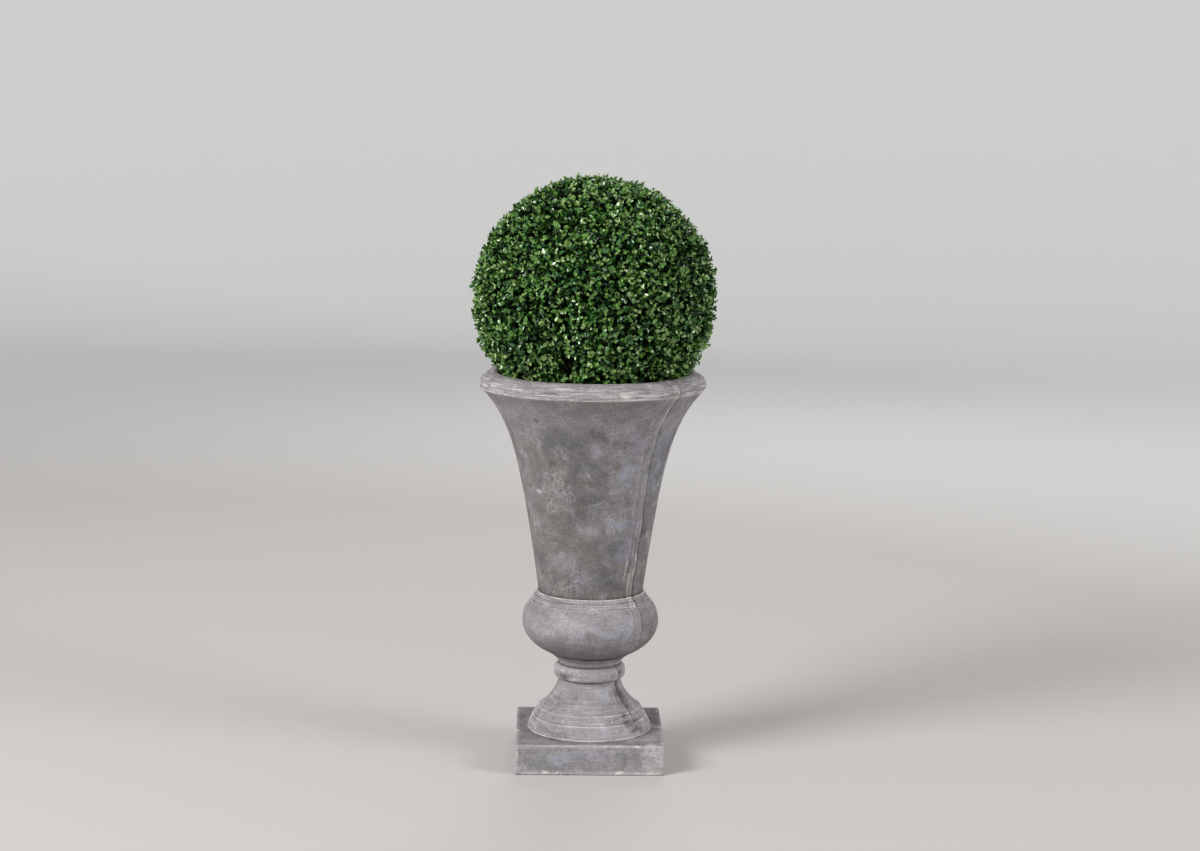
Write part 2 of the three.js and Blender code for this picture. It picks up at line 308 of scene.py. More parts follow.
def noise(points, cell, seed):
    """Smooth noise from -1 to 1, with bumps about one cell across; cell may differ by axis."""
    place = points / np.asarray(cell)
    low = np.floor(place).astype(np.int64)
    part = place - low
    part = part * part * (3 - 2 * part)
    total = 0.0
    for corner in np.ndindex(2, 2, 2):
        weight = np.prod(np.where(np.array(corner, bool), part, 1 - part), axis=-1)
        total += weight * lattice(low + np.array(corner), seed)
    return 2 * total - 1


def rough_noise(points, cell, seed, octaves=3):
    """Noise with finer and weaker layers added to it."""
    total, weight = 0.0, 1.0
    for octave in range(octaves):
        total += weight * noise(points, np.asarray(cell) / 2 ** octave, seed + octave)
        weight *= 0.55
    return total


# ---- Meshes ----


def add_object(name, data):
    added = bpy.data.objects.new(name, data)
    bpy.context.scene.collection.objects.link(added)
    return added


def add_mesh(name, points, face_groups, material):
    """A smooth shaded object from arrays of faces, each with its own number of corners."""
    corners = np.concatenate([np.ravel(group) for group in face_groups])
    sizes = np.concatenate([np.full(len(group), group.shape[1]) for group in face_groups])
    mesh = bpy.data.meshes.new(name)
    mesh.vertices.add(len(points))
    mesh.vertices.foreach_set("co", np.asarray(points, np.float32).ravel())
    mesh.loops.add(len(corners))
    mesh.loops.foreach_set("vertex_index", corners.astype(np.int32))
    mesh.polygons.add(len(sizes))
    mesh.polygons.foreach_set("loop_start", (np.cumsum(sizes) - sizes).astype(np.int32))
    mesh.materials.append(material)
    mesh.update(calc_edges=True)
    mesh.validate()
    mesh.shade_smooth()
    return add_object(name, mesh)


def stand_in(piece, node):
    """Puts a piece in the place of a CAD node."""
    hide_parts(node)
    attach(piece, "root")


def add_values(piece, name, values):
    """One number for each vertex, for the material to read."""
    attribute = piece.data.attributes.new(name, "FLOAT", "POINT")
    attribute.data.foreach_set("value", np.asarray(values, np.float32).ravel())


def ring_faces(rows, columns):
    """Quads that join rings of points, and a fan to a middle point at each end."""
    row = np.arange(rows - 1)[:, None] * columns
    here = np.arange(columns)[None, :]
    after = (here + 1) % columns
    quads = np.stack([row + here, row + after, row + columns + after, row + columns + here], -1)
    first, last = rows * columns, rows * columns + 1
    here, after = here[0], after[0]
    top = (rows - 1) * columns
    low_fan = np.stack([after, here, np.full(columns, first)], -1)
    top_fan = np.stack([top + here, top + after, np.full(columns, last)], -1)
    return [quads.reshape(-1, 4), np.concatenate([low_fan, top_fan])]


def with_middles(rings):
    """The points of the rings, then the middle of the first and of the last ring."""
    return np.concatenate([rings.reshape(-1, 3), rings[0].mean(0)[None], rings[-1].mean(0)[None]])


def add_rings(name, rings, material):
    return add_mesh(name, with_middles(rings), ring_faces(*rings.shape[:2]), material)


def repeated(face_groups, count, points_each):
    """The faces of many equal shapes, whose points follow each other."""
    shift = (np.arange(count) * points_each)[:, None, None]
    return [(group + shift).reshape(-1, group.shape[1]) for group in face_groups]


def ring_normals(rings):
    """Outward directions on rings that run anticlockwise and rise."""
    along = np.roll(rings, -1, 1) - np.roll(rings, 1, 1)
    up = np.gradient(rings, axis=0)
    return unit(np.cross(along, up))


def blurred(rings, times):
    """The rings with each point moved to the average of its neighbours, again and again."""
    for _ in range(times):
        padded = np.concatenate([rings[:1], rings, rings[-1:]])
        rings = (padded[:-2] + padded[2:] + np.roll(rings, 1, 1) + np.roll(rings, -1, 1)) / 4
    return rings


def circle(count):
    """The angles of points evenly round a circle."""
    return np.arange(count) * 2 * math.pi / count


def turned(radius, height, columns):
    """Rings of points round the vertical axis, one for each radius and height."""
    angle = circle(columns)
    flat = radius[:, None, None] * np.stack([np.cos(angle), np.sin(angle)], -1)
    return np.concatenate([flat, np.broadcast_to(height[:, None, None], flat.shape[:2] + (1,))], -1)


class Outline:
    """Points of an outline as (radius, height), added one stretch at a time."""

    def __init__(self, radius, height):
        self.points = [np.array([[radius, height]])]

    def line(self, end, step=FINE_STEP):
        start = self.points[-1][-1]
        steps = max(1, math.ceil(np.linalg.norm(np.subtract(end, start)) / step))
        share = np.linspace(0, 1, steps + 1)[1:, None]
        self.points.append(start + (np.array(end) - start) * share)

    def bend(self, end, set_off, arrive):
        """A smooth bend that sets off along one (radius, height) step and arrives along another."""
        start, end = self.points[-1][-1], np.array(end)
        first, last = start + set_off, end - arrive
        legs = np.diff([start, first, last, end], axis=0)
        steps = max(2, math.ceil(np.linalg.norm(legs, axis=1).sum() / FINE_STEP))
        t = np.linspace(0, 1, steps + 1)[1:, None]
        self.points.append((1 - t) ** 3 * start + 3 * (1 - t) ** 2 * t * first
                           + 3 * (1 - t) * t ** 2 * last + t ** 3 * end)

    def rings(self, columns):
        return turned(*np.concatenate(self.points).T, columns)


# ---- Materials ----


def linear(*colour):
    """A colour given as the eye sees it, 0 to 255, as light."""
    shares = [value / 255 for value in colour]
    return (*(s / 12.92 if s <= 0.04045 else ((s + 0.055) / 1.055) ** 2.4 for s in shares), 1.0)


class Nodes:
    """Builds a material's nodes; an input is another node's output or a value."""

    def __init__(self, name, colour):
        self.material = bpy.data.materials.new(name)
        self.material.use_nodes = True
        self.tree = self.material.node_tree
        self.surface = self.tree.nodes["Principled BSDF"]
        self.colour = linear(*colour)

    def put(self, node, socket, value):
        if isinstance(value, bpy.types.NodeSocket):
            self.tree.links.new(value, node.inputs[socket])
        else:
            node.inputs[socket].default_value = value

    def add(self, kind, inputs, output=0, **settings):
        node = self.tree.nodes.new("ShaderNode" + kind)
        for key, value in settings.items():
            setattr(node, key, value)
        for socket, value in inputs.items():
            self.put(node, socket, value)
        return node.outputs[output]

    def place(self, stretch=(1, 1, 1)):
        """The place on the object, with its axes stretched."""
        where = self.add("TexCoord", {}, "Object")
        return self.add("Mapping", {"Vector": where, "Scale": stretch})

    def value(self, name):
        return self.add("Attribute", {}, "Fac", attribute_name=name)

    def noise(self, where, cell, detail, roughness, offset=0.0):
        """Noise from 0 to 1 with patches about one cell across."""
        moved = self.vector("ADD", where, (offset, offset, offset))
        inputs = {"Vector": moved, "Scale": 1 / cell, "Detail": detail, "Roughness": roughness}
        return self.add("TexNoise", inputs, "Fac")

    def between(self, value, low, high, to_low=0.0, to_high=1.0):
        """A value spread from one range over another."""
        return self.add("MapRange", {0: value, 1: low, 2: high, 3: to_low, 4: to_high})

    def maths(self, operation, first, second):
        return self.add("Math", {0: first, 1: second}, operation=operation)

    def times(self, first, second):
        return self.maths("MULTIPLY", first, second)

    def vector(self, operation, first, second):
        return self.add("VectorMath", {0: first, 1: second}, operation=operation)

    def length(self, vector):
        return self.add("VectorMath", {0: vector}, "Value", operation="LENGTH")

    def mix(self, share, first, second, blend="MIX"):
        node = self.tree.nodes.new("ShaderNodeMix")
        node.data_type, node.blend_type = "RGBA", blend
        for socket, value in ((0, share), (6, first), (7, second)):
            self.put(node, socket, value)
        return node.outputs[2]

    def lay(self, share, colour):
        """Lays a colour over what is there so far."""
        self.colour = self.mix(share, self.colour, linear(*colour))

    def paint(self, roughness, shine=0.5):
        self.put(self.surface, "Base Color", self.colour)
        self.put(self.surface, "Roughness", roughness)
        self.put(self.surface, "Specular IOR Level", shine)

    def bump(self, height, distance):
        relief = self.add("Bump", {"Height": height, "Distance": distance, "Strength": 1.0})
        self.put(self.surface, "Normal", relief)


def add_clouds(n, place):
    """A second grey in soft patches, and the clouds of green, lilac and blue in a mottle."""
    n.lay(n.between(n.noise(place, 0.075, 8, 0.72), 0.34, 0.66), STONE_LIGHT)
    mottle = n.between(n.noise(place, 0.018, 6, 0.7, 3.1), 0.34, 0.54)
    for tint, colour in TINTS.items():
        n.lay(n.times(n.value(tint), mottle), colour)


def add_wash(n, place, strokes):
    """The thin pale wash, speckled, and uneven along the strokes where it was brushed."""
    brushing = n.between(n.noise(strokes, 0.045, 5, 0.7, 5.0), 0.38, 0.62, -0.75, 0.25)
    even = n.maths("ADD", 0.75, n.times(brushing, n.value("brushed")))
    speckled = n.between(n.noise(place, 0.007, 5, 0.75), 0.32, 0.62, 0.8, 1.1)
    n.lay(n.times(n.value("wash"), n.times(even, speckled)), WASH_COLOUR)


def add_scratches(n, place, upright):
    """Thin pale veins of three kinds, only in some patches."""
    patch = n.between(n.noise(place, 0.05, 3, 0.5, 21.0), 0.45, 0.62, 0.0, 0.5)
    for where, cell, offset in ((place, 0.013, 13.0), (upright, 0.06, 17.0), (place, 0.03, 19.0)):
        vein = n.maths("ABSOLUTE", n.maths("SUBTRACT", n.noise(where, cell, 5, 0.65, offset), 0.5), 0)
        n.lay(n.times(n.between(vein, 0.03, 0.0), patch), SCRATCH_COLOUR)


def add_hatching(n, place, strokes, upright):
    """Dry brush marks, level and upright, each in patches of its own."""
    for where, cell, offset in ((strokes, 0.034, 23.0), (upright, 0.024, 27.0)):
        patch = n.between(n.noise(place, 0.03, 3, 0.6, offset), 0.46, 0.62, 0.0, 0.42)
        marks = n.between(n.noise(where, cell, 4, 0.7, offset), 0.51, 0.62)
        n.lay(n.times(marks, patch), HATCH_COLOUR)


def add_streaks_and_chalk(n, strokes):
    """The thickest brush strokes, and chalky white on worn edges and along the seam."""
    washed = n.times(n.value("wash"), n.value("brushed"))
    bristles = n.between(n.noise(strokes, 0.06, 5, 0.65, 9.0), 0.54, 0.66, 0.0, 1.3)
    n.lay(n.times(washed, bristles), STREAK_COLOUR)
    n.lay(n.value("chalk"), CHALK_COLOUR)


def add_flecks_dirt_and_shade(n, place):
    """Pale flecks, and a fine grain, dirt and painted shade that darken what is under them."""
    n.lay(n.between(n.noise(place, 0.003, 3, 0.6, 8.0), 0.64, 0.74, 0.0, 0.35), FLECK_COLOUR)
    grain = n.between(n.noise(place, 0.0042, 5, 0.8, 2.0), 0.28, 0.72, 0.68, 1.27)
    dirt_and_shade = n.between(n.value("grime_and_shade"), 0, 1, 1.0, 0.34)
    n.colour = n.mix(1.0, n.colour, n.times(grain, dirt_and_shade), "MULTIPLY")


def weathered_stone():
    """Grey cast stone; each layer lies over the one before it."""
    n = Nodes("weathered_stone", STONE_DARK)
    place = n.place()
    level = n.add("CombineXYZ", {"Z": n.times(n.value("along"), 20.0)})
    strokes = n.vector("ADD", n.vector("MULTIPLY", place, (1, 1, 0)), level)
    upright = n.place((12, 12, 1))
    add_clouds(n, place)
    add_wash(n, place, strokes)
    add_scratches(n, place, upright)
    add_hatching(n, place, strokes, upright)
    add_streaks_and_chalk(n, strokes)
    add_flecks_dirt_and_shade(n, place)
    n.paint(0.86, 0.3)
    n.bump(n.noise(place, 0.003, 6, 0.8), 0.0014)
    return n.material


def potting_soil():
    """Dark crumbs, paler on their tops."""
    n = Nodes("potting_soil", SOIL_DARK)
    crumbs = n.noise(n.place(), 0.006, 6, 0.7)
    n.lay(crumbs, SOIL_LIGHT)
    n.paint(0.95)
    n.bump(crumbs, 0.003)
    return n.material


def box_bark():
    """Pale greyish brown bark with lengthwise cracks."""
    n = Nodes("box_bark", BARK_DARK)
    cracks = n.noise(n.place((1, 1, 0.25)), 0.004, 6, 0.7)
    n.lay(n.between(cracks, 0.35, 0.65), BARK_LIGHT)
    n.paint(0.88)
    n.bump(cracks, 0.0015)
    return n.material


def plain(name, colour, roughness, shine):
    """A colour dealt out whole to twigs or leaves."""
    n = Nodes(name, colour)
    n.paint(roughness, shine)
    return n.material


# ---- The urn ----


def azimuth_of(points):
    """How far round from the front each point lies."""
    return np.arctan2(points[..., 0], -points[..., 1])


def turned_from(points, azimuth):
    """How far round from some azimuth each point lies, as a length."""
    turn = (azimuth_of(points) - azimuth + math.pi) % (2 * math.pi) - math.pi
    return turn * np.hypot(points[..., 0], points[..., 1])


def bell(away, width):
    """1 in the middle, falling softly to about a third at one width away."""
    return np.exp(-(away / width) ** 2)


def seam_relief(points):
    """The mould seam on two opposite sides: amounts of ridge, pale broken line and groove."""
    height = points[..., 2:] * UP
    swing = SEAM_SWING * np.sin((points[..., 2] - SWING_START) / SWING_LENGTH * 2 * math.pi)
    wander = 0.0016 * rough_noise(height, 0.03, 60) + 0.0008 * rough_noise(points, 0.008, 61)
    ridge, line, groove = 0.0, 0.0, 0.0
    for seam in (SEAM, SEAM + math.pi):
        across = turned_from(points, seam + swing) + wander
        thickness = clamp(0.75 + 0.6 * rough_noise(height + seam, 0.02, 70))
        ridge += np.exp(-((across - SEAM_RIDGE[0]) / SEAM_RIDGE[1]) ** 4) * thickness
        for place, width, depth in SEAM_GROOVES:
            groove += depth / SEAM_GROOVES[0][2] * bell(across - place, width)
        for place, width, strength in SEAM_LINES:
            broken = smooth_step(rough_noise(points + seam + place, SEAM_BREAK, 75), -0.6, 0.75)
            fleck = smooth_step(noise(points + seam, SEAM_FLECK, 78), 0.45, 0.75)
            line += strength * (0.6 * broken + 1.2 * fleck) * bell(across - place, width)
    line *= 1 + SEAM_BARE[2] * bell(points[..., 2] - SEAM_BARE[0], SEAM_BARE[1])
    return ridge, line, groove


def clouds(points, shift, tint):
    """How strongly a tint's clouds colour each point; behind, noise makes them."""
    total = 0.0
    for degrees, *sizes, strength in CLOUDS[tint]:
        height, across, up = (size / 1000 for size in sizes)
        aside = turned_from(points, math.radians(degrees)) / across + CLOUD_RAGGED * shift[0]
        above = (points[..., 2] - height) / up + CLOUD_RAGGED * shift[1]
        total += strength * np.exp(-aside ** 2 - above ** 2)
    if tint not in BEHIND_SEEDS:
        return total
    behind = smooth_step(np.abs(azimuth_of(points)), math.radians(65), math.radians(100))
    return total + 0.5 * behind * smooth_step(rough_noise(points, 0.06, BEHIND_SEEDS[tint], 5), 0.15, 1.15)


def edge_lines(points, edges, width):
    """Lines round the turned edges, given as (radius, height, strength), broken up by noise."""
    radius = np.hypot(points[..., 0], points[..., 1])
    lines = 0.0
    for edge_radius, height, strength in edges:
        away = np.hypot(radius - edge_radius, points[..., 2] - height)
        lines += strength * bell(away, width)
    return lines * clamp(0.7 + 0.6 * rough_noise(points, 0.02, 85))


def weather(rings, edges, shaded_creases, worn, seamed):
    """The rings with an uneven, worn and seamed surface, and each point's amounts of wear and tint."""
    normals = ring_normals(rings)
    proud = ((rings - blurred(rings, 8)) * normals).sum(-1)
    edge = clamp(proud / PROUD_EDGE)
    hollow = clamp(-proud / DEEP_HOLLOW)
    chip = edge * smooth_step(rough_noise(rings, 0.011, 30), 0.75 - 0.35 * worn, 1.15 - 0.35 * worn)
    chip = chip * clamp(2.2 * worn)
    pit = worn * smooth_step(noise(rings, 0.0055, 45) + 0.3 * noise(rings, 0.04, 46), 0.8, 0.95)
    ridge, line, groove = (seamed * amount for amount in seam_relief(rings))
    lift = BUMPY[0] * rough_noise(rings, BUMPY[1], 10, 2) + ROUGH[0] * rough_noise(rings, ROUGH[1], 20)
    lift = lift - CHIP_DEPTH * worn * chip - PIT_DEPTH * pit
    lift = lift + SEAM_RIDGE[2] * ridge - SEAM_GROOVES[0][2] * groove + LINE_RISE * line
    stain = smooth_step(rough_noise(rings, 0.035, 50), 0.6, 1.1)
    shift = [rough_noise(rings, 0.024, seed, 4) for seed in (110, 120)]
    values = {
        "wash": 0.5 * edge + clouds(rings, shift, "pale") + 0.2 * ridge,
        "chalk": clouds(rings, shift, "white") + 0.9 * line
                 + 0.9 * edge_lines(rings, edges, LINE_WIDTH) + 0.7 * chip,
        # Dirt in hollows, grooves, pits and stains, and painted shade in the creases.
        "grime_and_shade": 0.6 * hollow + 0.3 * stain + 0.6 * groove + 0.7 * pit
                 + 0.5 * clouds(rings, shift, "dark") + edge_lines(rings, shaded_creases, CREASE_WIDTH),
    }
    for tint in TINTS:
        values[tint] = clouds(rings, shift, tint)
    return rings + normals * lift[..., None], values


def add_urn_piece(node, rings, wash, brushed, edges=(), shaded_creases=(), *, worn, shade=0.0, seamed=1):
    """A weathered piece of the urn, with its amounts of wash, of brush strokes and of painted shade."""
    moved, values = weather(rings, edges, shaded_creases, worn, seamed)
    moved[..., 2] = np.maximum(moved[..., 2], 0)
    values["wash"] += wash
    # Painted shade, laid in with the dirt.
    values["grime_and_shade"] += shade
    values["brushed"] = np.broadcast_to(brushed, rings.shape[:2])
    stone = bpy.data.materials.get("weathered_stone") or weathered_stone()
    piece = add_rings("urn_" + node, moved, stone)
    for title, amounts in values.items():
        add_values(piece, title, np.append(clamp(amounts).ravel(), [0, 0]))
    steps = np.linalg.norm(np.diff(rings[:, 0], axis=0), axis=-1)
    along = np.repeat(np.append(0, np.cumsum(steps)), rings.shape[1])
    add_values(piece, "along", np.append(along, [0, 0]))
    stand_in(piece, node)


def plinth_rings():
    """The square slab as rings: from under its edge, up the sides and in over the top."""
    low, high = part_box("plinth")
    half = high[0]
    side = np.linspace(-half + PLINTH_CORNER, half - PLINTH_CORNER, PLINTH_SIDE_POINTS)
    turn = np.linspace(0, math.pi / 2, PLINTH_CORNER_POINTS + 2)[1:-1]
    outline = [np.concatenate([
        np.stack([np.full(len(side), half), side], -1),
        half - PLINTH_CORNER + PLINTH_CORNER * np.stack([np.cos(turn), np.sin(turn)], -1),
    ])]
    for _ in range(3):
        outline.append(outline[-1] @ np.array([[0, 1], [-1, 0]]))
    outline = np.concatenate(outline)
    inset = 1 - PLINTH_BEVEL / half
    sides = np.linspace(low[2] + PLINTH_BEVEL, high[2] - PLINTH_BEVEL, PLINTH_ROWS)
    rows = [(share, low[2]) for share in np.linspace(PLINTH_INNER_SHARE, inset, PLINTH_UNDER_ROWS)]
    rows += [(1.0, height) for height in sides]
    rows += [(share, high[2]) for share in np.linspace(inset, PLINTH_COVERED_SHARE, PLINTH_ROWS)]
    return np.array([np.column_stack([outline * share, np.full(len(outline), z)]) for share, z in rows])


def flared_radius(height, foot, top, lip_growth):
    climb = (height - foot[1]) / (top - foot[1])
    return foot[0] + EVEN_FLARE[0] * climb ** EVEN_FLARE[1] + lip_growth * climb ** LIP_FLARE[1]


def inner_radius(height, floor):
    """The inside of the bowl, from the floor of its hollow up to the mouth."""
    foot = (WALL_FOOT[0] - WALL_THICKNESS, floor)
    return flared_radius(height, foot, MOUTH[1], MOUTH[0] - foot[0] - EVEN_FLARE[0])


def add_lip(outline):
    """The rolled lip, from its widest point over the crest and into the mouth."""
    outline.bend(LIP_CREST, (0, 0.011), (-0.015, 0))
    outline.bend(MOUTH, (-0.008, 0), (0, -0.0087))


def bowl_rings():
    """A sloping ledge with a scored line, the flared wall, the rolled lip and the inside."""
    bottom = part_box("bowl")[0][2]
    soil_low, soil_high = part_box("soil")
    floor = soil_low[2] - SOIL_GAP
    start = np.array([BULB_TOP[0] - BOWL_INSET, bottom])
    outline = Outline(HIDDEN_STEP, bottom)
    outline.line((start[0] - JOINT_EDGE, bottom), HIDDEN_STEP)
    outline.line(start)
    for share, depth in SCORED_LINE:
        outline.line(start + (np.array(LEDGE) - start) * share - (depth, 0))
    outline.line(LEDGE)
    outline.line(WALL_FOOT)
    wall_top = LIP_LOW_EDGE[1] - LIP_UNDERCUT
    wall_rows = round((wall_top - WALL_FOOT[1]) / WALL_STEP)
    for height in np.linspace(WALL_FOOT[1], wall_top, wall_rows)[1:]:
        outline.line((flared_radius(height, WALL_FOOT, LIP_LOW_EDGE[1], LIP_FLARE[0]), height), 1)
    outline.line(LIP_LOW_EDGE)
    outline.line(LIP_WIDEST)
    add_lip(outline)
    above_soil = np.arange(MOUTH[1] - INSIDE_STEP, soil_high[2], -INSIDE_STEP)
    under_soil = np.linspace(soil_high[2] - 0.01, floor, 12)
    for height in [*above_soil, *under_soil]:
        outline.line((inner_radius(height, floor), height), 1)
    outline.line((HIDDEN_STEP, floor), HIDDEN_STEP)
    return outline.rings(BOWL_COLUMNS)


def add_plinth():
    """The slab: darker on top, with less wash and painted shade there, and pale chips along its low edge.
    """
    rings = plinth_rings()
    height = rings[..., 2]
    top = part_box("plinth")[1][2]
    on_top = smooth_step(height, top - 0.0012, top)
    low_edge = smooth_step(height, 0.014, 0.002) * smooth_step(rough_noise(rings, 0.009, 140), 0.1, 0.6)
    # Painted shade on the top: less wash and a share of shade there, so that it is darker than the front.
    wash = 0.36 - 0.2 * on_top + 0.9 * low_edge
    add_urn_piece("plinth", rings, wash, 0.3, worn=1.0, shade=0.16 * on_top, seamed=0)


def add_pedestal():
    """Two stepped rings, a flare up to the neck, a rounded ring, and a hollow band that is palest."""
    low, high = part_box("pedestal")
    outline = Outline(HIDDEN_STEP, low[2])
    outline.line((FOOT_RADIUS - 2 * JOINT_EDGE, low[2]), HIDDEN_STEP)
    outline.line((FOOT_RADIUS, low[2]))
    outline.bend(LOWER_STEP, (-0.0005, 0.009), (-0.004, 0.008))
    outline.line((LOWER_STEP[0] - STEP_INSET, LOWER_STEP[1] + STEP_RISE))
    outline.bend(UPPER_STEP, (-0.0005, 0.0065), (-0.003, 0.006))
    outline.line((UPPER_STEP[0] - STEP_INSET, UPPER_STEP[1] + STEP_RISE))
    outline.bend(NECK, (-0.013, 0.0095), (-0.007, 0.027))
    outline.line(RING_FOOT)
    outline.bend(RING, (0.0075, 0), (0, 0.009))
    outline.bend(COVE_FOOT, (0, 0.009), (-0.008, 0.002))
    outline.bend(COVE_RIM, (0.0027, 0.0077), (0.0083, 0.0053))
    outline.line((SPIGOT_RADIUS, high[2]))
    outline.line((HIDDEN_STEP, high[2]), HIDDEN_STEP)
    rings = outline.rings(SMALL_COLUMNS)
    height = rings[..., 2]
    foot_edge = (FOOT_RADIUS, low[2] + 0.001)
    edges = [(*foot_edge, 1.6), (*LOWER_STEP, 0.6), (*UPPER_STEP, 0.2)]
    # Painted shade: dark lines in the creases at the ring's foot, the cove's foot and the cove's rim under
    # the swelling.
    shaded_creases = [(*RING_FOOT, 0.7), (*COVE_FOOT, 0.8), (*COVE_RIM, 1.0)]
    band = smooth_step(height, 0.198, 0.2) * smooth_step(height, 0.212, 0.206)
    flare = smooth_step(height, 0.12, 0.15)
    wash = 0.41 + 0.06 * flare + 0.4 * band
    add_urn_piece("pedestal", rings, wash, 0.35, edges, shaded_creases, worn=0.5, seamed=0.5)


def add_bulb():
    """The swelling over the foot: darker than the rest, with painted shade underneath, where it has less
    wash.
    """
    low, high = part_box("bulb")
    outline = Outline(HIDDEN_STEP, low[2])
    outline.line((SPIGOT_RADIUS, low[2]), HIDDEN_STEP)
    outline.line(BULB_FOOT)
    outline.bend(BULB, (0.0235, 0.009), (0, 0.038))
    outline.bend(BULB_TOP, (0, 0.02), (-0.009, 0.01))
    outline.line((BULB_TOP[0] - JOINT_EDGE, high[2]))
    outline.line((HIDDEN_STEP, high[2]), HIDDEN_STEP)
    rings = outline.rings(SMALL_COLUMNS)
    # Painted shade: less wash towards the foot, so that the underside is darkest.
    shaded_underside = smooth_step(rings[..., 2], BULB_FOOT[1] + 0.045, BULB_FOOT[1])
    # Painted shade: a dark line in the crease under the swelling.
    shaded_creases = [(*BULB_FOOT, 1.0)]
    add_urn_piece("bulb", rings, 0.19 - 0.07 * shaded_underside, 0.3, (), shaded_creases, worn=0.1, seamed=0.5)


def add_bowl():
    """The bowl: washed on its ledge, under its lip and most of all on the lip."""
    rings = bowl_rings()
    height = rings[..., 2]
    on_ledge = smooth_step(height, WALL_FOOT[1], LEDGE[1])
    on_lip = smooth_step(height, LIP_LOW_EDGE[1] - 0.001, LIP_LOW_EDGE[1] + 0.002)
    under_lip = smooth_step(height, 0.66, 0.74) * (1 - on_lip)
    wash = 0.4 * on_lip + 0.26 * on_ledge + 0.3 * under_lip
    brushed = 0.15 + 0.85 * on_lip + 0.45 * on_ledge
    edges = [(*LEDGE, 1.0), (*LIP_LOW_EDGE, 0.6)]
    # Painted shade: a dark line in the crease at the foot of the wall.
    add_urn_piece("bowl", rings, wash, brushed, edges, [(*WALL_FOOT, 0.5)], worn=0.15)


def add_soil():
    """Crumbly soil, level with the top of its solid."""
    low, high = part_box("soil")
    bottom, top = low[2], high[2] - SOIL_SLACK
    outline = Outline(0.01, bottom)
    outline.line((inner_radius(bottom, bottom) - SOIL_SLACK, bottom), HIDDEN_STEP)
    for height in np.linspace(bottom, top, 24)[1:]:
        outline.line((inner_radius(height, bottom) - SOIL_SLACK, height), 1)
    outline.line((0.004, top), 0.003)
    rings = outline.rings(SOIL_COLUMNS)
    crumbs = CRUMB_HEIGHT * clamp(rough_noise(rings, 0.012, 90))
    on_top = smooth_step(rings[..., 2], high[2] - 0.004, top)
    rings[..., 2] += crumbs * on_top
    stand_in(add_rings("soil_surface", rings, potting_soil()), "soil")


# ---- The plant's limbs ----


def sphere_directions(count, random, jitter):
    """Directions spread all round by the golden angle, each moved a little."""
    order = np.arange(count) + 0.5
    height = 1 - 2 * order / count
    flat = np.sqrt(1 - height ** 2)
    turn = order * GOLDEN_ANGLE
    even = np.stack([flat * np.cos(turn), flat * np.sin(turn), height], -1)
    spacing = math.sqrt(4 * math.pi / count)
    return unit(even + random.normal(0, jitter * spacing, (count, 3)))


class ClippedBall:
    """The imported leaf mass: its centre, and how far its surface lies from there."""

    def __init__(self):
        low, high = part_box("leaf_ball")
        self.radius = (high[0] - low[0]) / 2
        self.centre = np.array([0, 0, high[2] - self.radius])
        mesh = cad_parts["leaf_ball"].data
        corners = [tuple(face.vertices) for face in mesh.polygons]
        self.tree = BVHTree.FromPolygons([v.co for v in mesh.vertices], corners)

    def reach(self, directions):
        """The distance from the centre out to the surface, along each direction."""
        far = 2 * self.radius
        hits = []
        for direction in directions:
            start = Vector(self.centre + direction * far)
            distance = self.tree.ray_cast(start, Vector(-direction))[3]
            hits.append(far - distance)
        return np.array(hits)


def curve_points(start, middle, end, steps):
    """Points along smooth bends, one for each row of starts, middles and ends."""
    t = np.linspace(0, 1, steps)[None, :, None]
    return (1 - t) ** 2 * start[:, None] + 2 * t * (1 - t) * middle[:, None] + t ** 2 * end[:, None]


def side_vectors(tangents, overall):
    """Two directions square to each tangent and to each other, with no twist along a path."""
    helper = np.where(np.abs(overall[..., 2:]) < 0.8, UP, np.array([1.0, 0, 0]))
    side = unit(np.cross(tangents, helper))
    return side, np.cross(tangents, side)


def tubes(paths, radii, sides):
    """Rings round many paths: the array is paths x steps x sides x 3."""
    tangents = unit(np.gradient(paths, axis=1))
    side, other = side_vectors(tangents, unit(paths[:, -1:] - paths[:, :1]))
    angle = circle(sides)[:, None]
    out = side[:, :, None] * np.cos(angle) + other[:, :, None] * np.sin(angle)
    return paths[:, :, None] + out * radii[..., None, None]


def tube_mesh(rings):
    """Points and faces of closed tubes, from rings as tubes() gives them."""
    count, steps, sides = rings.shape[:3]
    points = np.concatenate([rings.reshape(count, -1, 3), rings[:, :1].mean(2), rings[:, -1:].mean(2)], 1)
    return points.reshape(-1, 3), repeated(ring_faces(steps, sides), *points.shape[:2])


def nearest(directions, end_directions):
    """The limb whose end lies nearest to each direction."""
    return np.argmax(directions @ end_directions.T, axis=1)


def grow_limbs(ball, random):
    """Each order of limbs starts from the ends of the one before."""
    orders = []
    ends = np.array([STEM_TIP])
    end_directions = heading = UP[None]
    for count, share, jitter in LIMB_ORDERS:
        directions = sphere_directions(count, random, jitter)
        reach = ball.reach(directions) * (share + random.normal(0, 0.03, count))
        tips = ball.centre + directions * reach[:, None]
        parent = nearest(directions, end_directions)
        start = ends[parent]
        bow = heading[parent] * lengths(tips - start) * 0.45
        middle = start + bow + random.normal(0, 0.004, start.shape)
        orders.append(curve_points(start, middle, tips, 9))
        heading = unit(tips - middle)
        ends, end_directions = tips, directions
    return orders, end_directions


